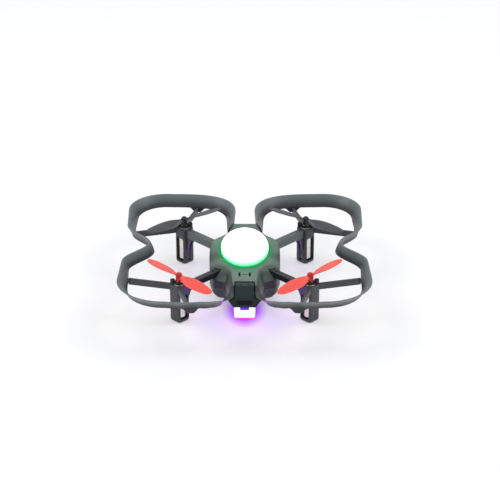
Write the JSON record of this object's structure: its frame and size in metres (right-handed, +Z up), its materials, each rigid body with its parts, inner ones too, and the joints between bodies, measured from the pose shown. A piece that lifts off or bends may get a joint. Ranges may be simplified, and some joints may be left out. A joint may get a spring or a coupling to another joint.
{
  "type": "mini palm drone",
  "caption": "Palm-sized quadcopter with ribbon guards round its propellers, diagonal arms with motor pods that stand as feet, a lit dome on the deck and a lit nose.",
  "frame": {"origin": "on the ground under the middle of the four motor pods, at the centre of the footprint", "axes": "+Z up, nose towards -Y, the drone's own left side towards +X"},
  "size_m": [0.1452, 0.1463, 0.0404],
  "materials": {
    "shell": "fine satin texture",
    "arm": "fine satin texture",
    "black_plastic": "satin",
    "propeller_red": "satin gloss, slightly translucent",
    "propeller_dark": "satin gloss, slightly translucent",
    "dome": "milky translucent, lit from inside",
    "reflector": "white",
    "visor": "gloss",
    "dark_window": "polished",
    "light_lens": "milky translucent, lit from inside",
    "board": "solder mask",
    "battery": "satin sleeve",
    "motor": "turned and satin plated",
    "steel": "bright",
    "lead": "flexible sleeve"
  },
  "bodies": {
    "airframe": {"top_shell": "shell", "bottom_shell": "shell", "guard_left": "shell", "guard_right": "shell", "dome_lens": "dome", "dome_reflector": "reflector", "dome_light_board": "board", "nose_visor": "visor", "nose_sensor_window": "dark_window", "front_range_sensor": "black_plastic", "nose_light_lens": "light_lens", "nose_light_board": "board", "main_board": "board", "buzzer": "black_plastic", "usb_port": "steel", "power_switch": "black_plastic", "battery_connector": "black_plastic", "flow_camera_module": "board", "flow_camera_lens": "dark_window", "floor_range_sensor": "dark_window", "motor_arm_front_left": "arm", "motor_lead_front_left": "lead", "motor_can_front_left": "motor", "motor_end_cap_front_left": "black_plastic", "motor_clip_front_left": "black_plastic", "body_screw_front_left": "steel", "motor_arm_front_right": "arm", "motor_lead_front_right": "lead", "motor_can_front_right": "motor", "motor_end_cap_front_right": "black_plastic", "motor_clip_front_right": "black_plastic", "body_screw_front_right": "steel", "motor_arm_rear_left": "arm", "motor_lead_rear_left": "lead", "motor_can_rear_left": "motor", "motor_end_cap_rear_left": "black_plastic", "motor_clip_rear_left": "black_plastic", "body_screw_rear_left": "steel", "motor_arm_rear_right": "arm", "motor_lead_rear_right": "lead", "motor_can_rear_right": "motor", "motor_end_cap_rear_right": "black_plastic", "motor_clip_rear_right": "black_plastic", "body_screw_rear_right": "steel"},
    "rotor_front_left": {"propeller_front_left": "propeller_red", "motor_shaft_front_left": "steel"},
    "rotor_front_right": {"propeller_front_right": "propeller_red", "motor_shaft_front_right": "steel"},
    "rotor_rear_left": {"propeller_rear_left": "propeller_dark", "motor_shaft_rear_left": "steel"},
    "rotor_rear_right": {"propeller_rear_right": "propeller_dark", "motor_shaft_rear_right": "steel"},
    "button": {"power_button": "black_plastic"},
    "battery": {"battery_pack": "battery", "battery_grip": "black_plastic"}
  },
  "joints": [
    {"name": "propeller_spin_front_left", "type": "hinge", "parent": "airframe", "child": "rotor_front_left", "pos_m": [0.0375, -0.0375, 0.028], "axis": [0, 0, -1], "continuous": true},
    {"name": "propeller_spin_front_right", "type": "hinge", "parent": "airframe", "child": "rotor_front_right", "pos_m": [-0.0375, -0.0375, 0.028], "axis": [0, 0, 1], "continuous": true},
    {"name": "propeller_spin_rear_left", "type": "hinge", "parent": "airframe", "child": "rotor_rear_left", "pos_m": [0.0375, 0.0375, 0.028], "axis": [0, 0, 1], "continuous": true},
    {"name": "propeller_spin_rear_right", "type": "hinge", "parent": "airframe", "child": "rotor_rear_right", "pos_m": [-0.0375, 0.0375, 0.028], "axis": [0, 0, -1], "continuous": true},
    {"name": "power_button_press", "type": "slide", "parent": "airframe", "child": "button", "axis": [0, -1, 0], "range_m": [0, 0.0005], "stiffness_N_per_m": 1200, "springref_m": -0.0005},
    {"name": "battery_slide", "type": "slide", "parent": "airframe", "child": "battery", "axis": [0, 1, 0], "range_m": [0, 0.042]}
  ]
}
